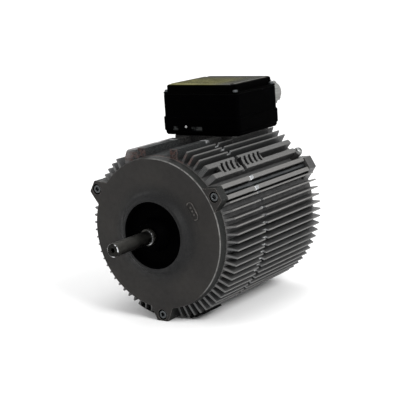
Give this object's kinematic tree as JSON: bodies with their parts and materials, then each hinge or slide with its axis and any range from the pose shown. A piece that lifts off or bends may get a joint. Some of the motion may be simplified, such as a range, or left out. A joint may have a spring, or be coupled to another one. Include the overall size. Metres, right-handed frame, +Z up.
{
  "type": "electric motor",
  "caption": "Totally enclosed three-phase induction motor with a finned body, a plain shaft end, a terminal box on top and threaded holes in its rear face.",
  "frame": {"origin": "centre of the rear mounting face, on the shaft's axis", "axes": "+Y along the shaft's axis out of the rear face, -Y towards the free end of the shaft, +Z up through the terminal box"},
  "size_m": [0.2098, 0.3093, 0.2682],
  "materials": {
    "frame": "cast, dark grey, satin",
    "endshield": "cast and turned, dark grey, satin",
    "steel": "turned, lightly oiled",
    "black_steel": "blackened",
    "bearing_steel": "polished",
    "lamination": "stacked sheet edges",
    "cage_aluminium": "die-cast",
    "copper": "varnished copper windings",
    "wedge": "pressed fibre",
    "black_plastic": "moulded, lightly grained",
    "lid_plastic": "moulded, ribbed",
    "grey_plastic": "moulded polyamide",
    "board": "moulded resin",
    "rubber": "moulded",
    "brass": "turned",
    "zinc": "zinc plated",
    "lead": "insulated wire"
  },
  "bodies": {
    "stator": {"finned_frame": "frame", "front_endshield": "endshield", "rear_endshield": "endshield", "stator_core": "lamination", "stator_winding": "copper", "slot_wedges": "wedge", "front_bearing_circlip": "black_steel", "front_bearing_cover": "black_plastic", "front_shaft_seal": "rubber", "rear_preload_spring": "steel", "rear_bearing_cap": "black_plastic", "front_endshield_oring": "rubber", "rear_endshield_oring": "rubber", "tie_bolts": "black_steel", "tie_bolt_washers": "black_steel", "earth_screw": "zinc", "earth_washer": "zinc", "terminal_box_base": "black_plastic", "terminal_box_lid_seal": "rubber", "terminal_box_base_seal": "rubber", "terminal_box_lid": "lid_plastic", "terminal_box_lid_screws": "zinc", "terminal_box_base_screws": "zinc", "terminal_board": "board", "terminal_studs": "brass", "terminal_nuts": "brass", "terminal_links": "brass", "terminal_board_screws": "zinc", "winding_leads": "lead", "cable_gland_body": "grey_plastic", "cable_gland_nut": "grey_plastic", "cable_gland_seal": "rubber", "cable_gland_locknut": "grey_plastic", "blanking_plug": "black_plastic", "rest_pads": "rubber", "front_bearing_outer_ring": "bearing_steel", "front_bearing_shields": "steel", "rear_bearing_outer_ring": "bearing_steel", "rear_bearing_shields": "steel"},
    "rotor": {"shaft": "steel", "rotor_core": "lamination", "rotor_cage": "cage_aluminium", "front_bearing_inner_ring": "bearing_steel", "rear_bearing_inner_ring": "bearing_steel"},
    "front_cage": {"front_bearing_cage": "brass", "front_bearing_balls": "bearing_steel"},
    "rear_cage": {"rear_bearing_cage": "brass", "rear_bearing_balls": "bearing_steel"}
  },
  "joints": [
    {"name": "rotor_spin", "type": "hinge", "parent": "stator", "child": "rotor", "pos_m": [0, 0, 0], "axis": [0, -1, 0], "continuous": true},
    {"name": "front_cage_spin", "type": "hinge", "parent": "stator", "child": "front_cage", "pos_m": [0, 0, 0], "axis": [0, -1, 0], "continuous": true},
    {"name": "rear_cage_spin", "type": "hinge", "parent": "stator", "child": "rear_cage", "pos_m": [0, 0, 0], "axis": [0, -1, 0], "continuous": true}
  ],
  "couplings": [
    {"joint": "front_cage_spin", "follows": "rotor_spin", "ratio": 0.38149},
    {"joint": "rear_cage_spin", "follows": "rotor_spin", "ratio": 0.38149}
  ]
}
